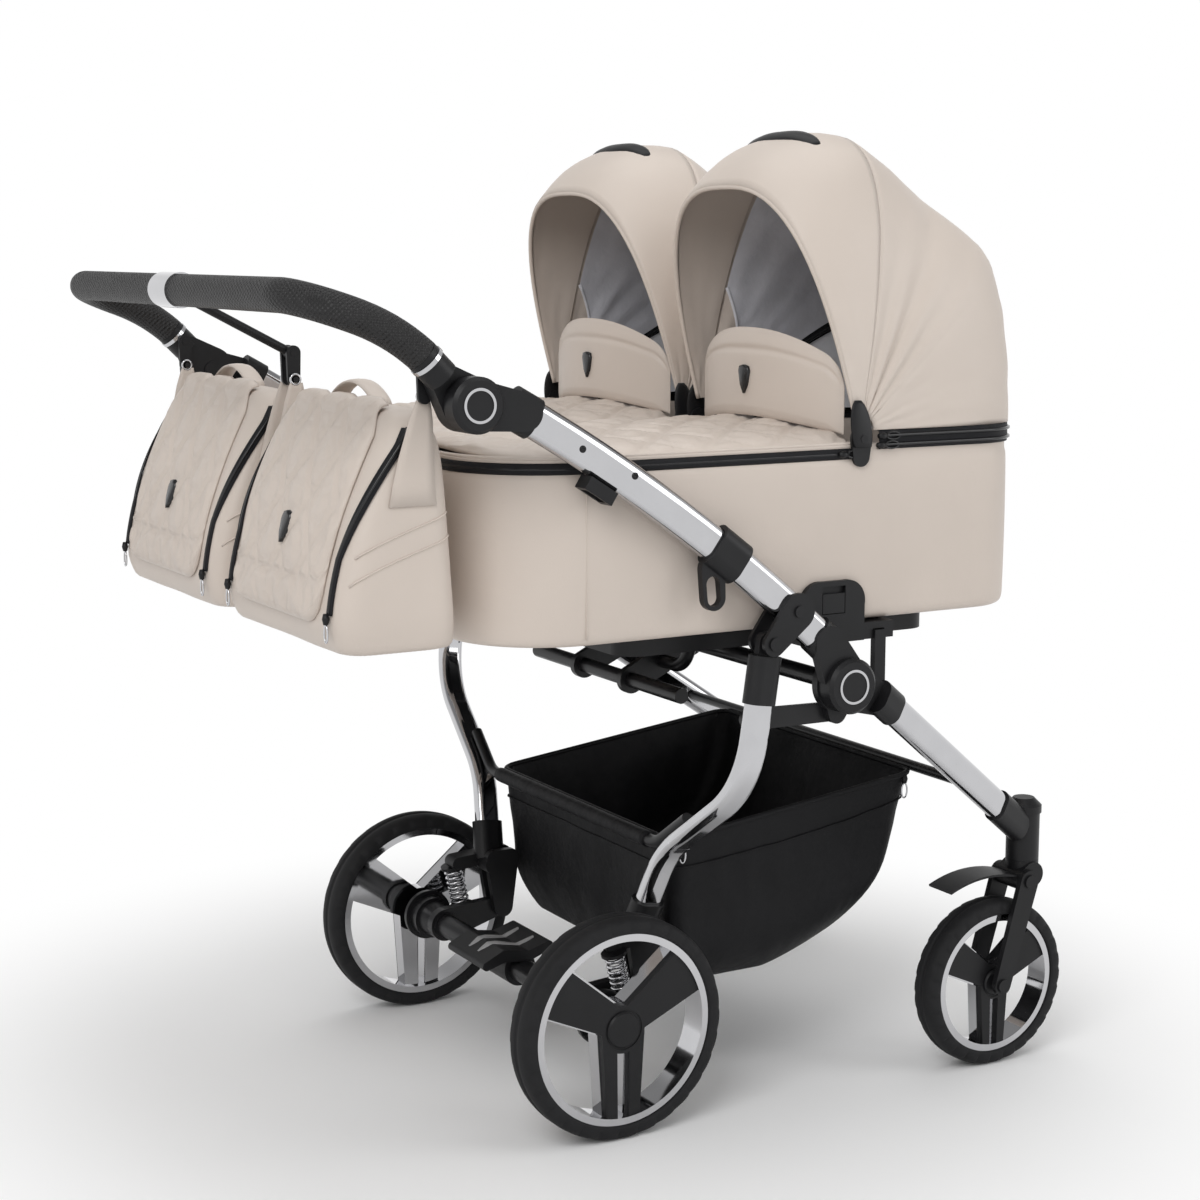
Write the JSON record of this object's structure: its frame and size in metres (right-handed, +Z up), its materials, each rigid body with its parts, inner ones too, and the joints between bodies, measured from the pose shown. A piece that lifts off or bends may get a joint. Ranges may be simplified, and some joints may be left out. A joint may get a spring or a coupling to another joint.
{
  "type": "twin pram",
  "caption": "Side-by-side twin pram: padded carrycots with folding hoods on a folding chrome chassis with swivel front wheels, sprung rear axle, basket and handle bags.",
  "frame": {"origin": "on the floor under the middle of the pram's bounding box", "axes": "+X is the driving direction, +Y is the pram's left and +Z is up; the handle is at -X"},
  "size_m": [1.135, 0.8684, 1.2218],
  "materials": {
    "chrome": "polished",
    "black_plastic": "satin moulded",
    "black_tube": "satin black",
    "basket_fabric": "woven",
    "grip_leather": "stitched, matte",
    "trim_chrome": "polished",
    "spring_steel": "drawn wire",
    "tyre": "matte",
    "tub_leather": "pearl grain",
    "cover_fabric": "padded",
    "hood_leather": "pearl grain",
    "bag_leather": "pearl grain",
    "mattress_fabric": "cotton"
  },
  "bodies": {
    "chassis": {"lower_tubes": "chrome", "hub_lowers": "black_plastic", "cross_tubes": "black_tube", "swivel_housings": "black_plastic", "basket": "basket_fabric"},
    "upper_frame": {"upper_tubes": "chrome", "hub_uppers": "black_plastic", "hub_rings": "chrome", "tube_brackets": "black_plastic", "handle_hubs": "black_plastic"},
    "handle": {"handle_arms": "black_plastic", "hook_arm": "black_plastic", "handle_grip": "grip_leather", "grip_trim": "trim_chrome"},
    "bag_hooks": {"bag_hooks": "black_plastic"},
    "rear_legs": {"legs": "chrome", "leg_fittings": "black_plastic", "basket_bar": "black_tube"},
    "stays": {"stays": "black_tube"},
    "rear_axle": {"axle_beam": "black_tube", "springs": "spring_steel"},
    "brake_pedal": {"brake_pedal": "black_plastic"},
    "trigger_right": {"trigger_right": "black_plastic"},
    "tilt_button_right": {"tilt_button_right": "black_plastic"},
    "bag_right": {"bag_right": "bag_leather"},
    "rear_wheel_right": {"rear_tyre_right": "tyre", "rear_rim_right": "chrome", "rear_cover_right": "black_plastic"},
    "front_wheel_right": {"front_tyre_right": "tyre", "front_rim_right": "chrome", "front_cover_right": "black_plastic"},
    "castor_right": {"fork_head_right": "black_plastic"},
    "fork_right": {"fork_right": "black_plastic"},
    "carrycot_right": {"tub_right": "tub_leather", "cot_base_right": "black_plastic", "mattress_right": "mattress_fabric", "apron_right": "cover_fabric", "hood_rear_right": "hood_leather"},
    "flap_right": {"flap_right": "cover_fabric"},
    "hood_right": {"hood_front_right": "hood_leather"},
    "latch_right": {"latch_right": "black_plastic"},
    "trigger_left": {"trigger_left": "black_plastic"},
    "tilt_button_left": {"tilt_button_left": "black_plastic"},
    "bag_left": {"bag_left": "bag_leather"},
    "rear_wheel_left": {"rear_tyre_left": "tyre", "rear_rim_left": "chrome", "rear_cover_left": "black_plastic"},
    "front_wheel_left": {"front_tyre_left": "tyre", "front_rim_left": "chrome", "front_cover_left": "black_plastic"},
    "castor_left": {"fork_head_left": "black_plastic"},
    "fork_left": {"fork_left": "black_plastic"},
    "carrycot_left": {"tub_left": "tub_leather", "cot_base_left": "black_plastic", "mattress_left": "mattress_fabric", "apron_left": "cover_fabric", "hood_rear_left": "hood_leather"},
    "flap_left": {"flap_left": "cover_fabric"},
    "hood_left": {"hood_front_left": "hood_leather"},
    "latch_left": {"latch_left": "black_plastic"}
  },
  "joints": [
    {"name": "chassis_fold", "type": "hinge", "parent": "chassis", "child": "upper_frame", "pos_m": [0.1365, 0, 0.564], "axis": [0, -1, 0], "range_deg": [-45, 0]},
    {"name": "leg_fold", "type": "hinge", "parent": "upper_frame", "child": "rear_legs", "pos_m": [0.0275, 0, 0.624], "axis": [0, -1, 0], "range_deg": [0, 17]},
    {"name": "stay_fold", "type": "hinge", "parent": "chassis", "child": "stays", "pos_m": [0.1315, 0, 0.528], "axis": [0, -1, 0], "range_deg": [-42, 0]},
    {"name": "handle_tilt", "type": "hinge", "parent": "upper_frame", "child": "handle", "pos_m": [-0.3605, 0, 0.917], "axis": [0, -1, 0], "range_deg": [-30, 30]},
    {"name": "hook_level", "type": "hinge", "parent": "handle", "child": "bag_hooks", "pos_m": [-0.4005, 0, 0.957], "axis": [0, -1, 0], "range_deg": [-30, 30]},
    {"name": "rear_suspension", "type": "hinge", "parent": "rear_legs", "child": "rear_axle", "pos_m": [-0.0215, 0, 0.156], "axis": [0, 1, 0], "range_deg": [0, 8], "stiffness_Nm_per_rad": 150, "springref_deg": -8.02, "deforming": ["springs"]},
    {"name": "brake_pedal_rock", "type": "hinge", "parent": "rear_axle", "child": "brake_pedal", "pos_m": [-0.1075, 0, 0.14], "axis": [0, -1, 0], "range_deg": [0, 16]},
    {"name": "bag_swing_right", "type": "hinge", "parent": "bag_hooks", "child": "bag_right", "pos_m": [-0.4005, -0.195, 0.925], "axis": [0, -1, 0], "range_deg": [-77, 0]},
    {"name": "rear_wheel_spin_right", "type": "hinge", "parent": "rear_axle", "child": "rear_wheel_right", "pos_m": [-0.1075, -0.288, 0.14], "axis": [0, 1, 0], "continuous": true},
    {"name": "castor_swivel_right", "type": "hinge", "parent": "chassis", "child": "castor_right", "pos_m": [0.5075, -0.312, 0.3], "axis": [0, 0, 1], "continuous": true},
    {"name": "fork_suspension_right", "type": "hinge", "parent": "castor_right", "child": "fork_right", "pos_m": [0.4955, -0.312, 0.25], "axis": [0, 1, 0], "range_deg": [0, 6], "stiffness_Nm_per_rad": 40, "springref_deg": -8.59},
    {"name": "front_wheel_spin_right", "type": "hinge", "parent": "fork_right", "child": "front_wheel_right", "pos_m": [0.4545, -0.312, 0.113], "axis": [0, 1, 0], "continuous": true},
    {"name": "trigger_pull_right", "type": "slide", "parent": "upper_frame", "child": "trigger_right", "axis": [-0.798, 0, 0.6027], "range_m": [0, 0.012], "stiffness_N_per_m": 500, "springref_m": -0.006},
    {"name": "tilt_button_press_right", "type": "slide", "parent": "handle", "child": "tilt_button_right", "axis": [0, -1, 0], "range_m": [0, 0.003], "stiffness_N_per_m": 800, "springref_m": -0.002},
    {"name": "carrycot_lift_right", "type": "slide", "parent": "chassis", "child": "carrycot_right", "axis": [0, 0, 1], "range_m": [0, 0.3]},
    {"name": "hood_fold_right", "type": "hinge", "parent": "carrycot_right", "child": "hood_right", "pos_m": [0.1765, -0.201, 0.856], "axis": [0, 1, 0], "range_deg": [0, 55], "deforming": ["hood_rear_right"]},
    {"name": "flap_fold_right", "type": "hinge", "parent": "carrycot_right", "child": "flap_right", "pos_m": [0.1275, -0.201, 0.8747], "axis": [0, -1, 0], "range_deg": [0, 80]},
    {"name": "latch_lift_right", "type": "slide", "parent": "carrycot_right", "child": "latch_right", "axis": [0, 0, 1], "range_m": [0, 0.006], "stiffness_N_per_m": 300, "springref_m": -0.003},
    {"name": "bag_swing_left", "type": "hinge", "parent": "bag_hooks", "child": "bag_left", "pos_m": [-0.4005, 0.195, 0.925], "axis": [0, -1, 0], "range_deg": [-77, 0]},
    {"name": "rear_wheel_spin_left", "type": "hinge", "parent": "rear_axle", "child": "rear_wheel_left", "pos_m": [-0.1075, 0.288, 0.14], "axis": [0, 1, 0], "continuous": true},
    {"name": "castor_swivel_left", "type": "hinge", "parent": "chassis", "child": "castor_left", "pos_m": [0.5075, 0.312, 0.3], "axis": [0, 0, 1], "continuous": true},
    {"name": "fork_suspension_left", "type": "hinge", "parent": "castor_left", "child": "fork_left", "pos_m": [0.4955, 0.312, 0.25], "axis": [0, 1, 0], "range_deg": [0, 6], "stiffness_Nm_per_rad": 40, "springref_deg": -8.59},
    {"name": "front_wheel_spin_left", "type": "hinge", "parent": "fork_left", "child": "front_wheel_left", "pos_m": [0.4545, 0.312, 0.113], "axis": [0, 1, 0], "continuous": true},
    {"name": "trigger_pull_left", "type": "slide", "parent": "upper_frame", "child": "trigger_left", "axis": [-0.798, 0, 0.6027], "range_m": [0, 0.012], "stiffness_N_per_m": 500, "springref_m": -0.006},
    {"name": "tilt_button_press_left", "type": "slide", "parent": "handle", "child": "tilt_button_left", "axis": [0, 1, 0], "range_m": [0, 0.003], "stiffness_N_per_m": 800, "springref_m": -0.002},
    {"name": "carrycot_lift_left", "type": "slide", "parent": "chassis", "child": "carrycot_left", "axis": [0, 0, 1], "range_m": [0, 0.3]},
    {"name": "hood_fold_left", "type": "hinge", "parent": "carrycot_left", "child": "hood_left", "pos_m": [0.1765, 0.201, 0.856], "axis": [0, 1, 0], "range_deg": [0, 55], "deforming": ["hood_rear_left"]},
    {"name": "flap_fold_left", "type": "hinge", "parent": "carrycot_left", "child": "flap_left", "pos_m": [0.1275, 0.201, 0.8747], "axis": [0, -1, 0], "range_deg": [0, 80]},
    {"name": "latch_lift_left", "type": "slide", "parent": "carrycot_left", "child": "latch_left", "axis": [0, 0, 1], "range_m": [0, 0.006], "stiffness_N_per_m": 300, "springref_m": -0.003}
  ],
  "couplings": [
    {"joint": "leg_fold", "follows": "chassis_fold", "ratio": -0.363},
    {"joint": "stay_fold", "follows": "chassis_fold", "ratio": 0.92},
    {"joint": "hook_level", "follows": "handle_tilt", "ratio": -1},
    {"joint": "bag_swing_right", "follows": "chassis_fold", "ratio": 1.7},
    {"joint": "bag_swing_left", "follows": "chassis_fold", "ratio": 1.7}
  ]
}
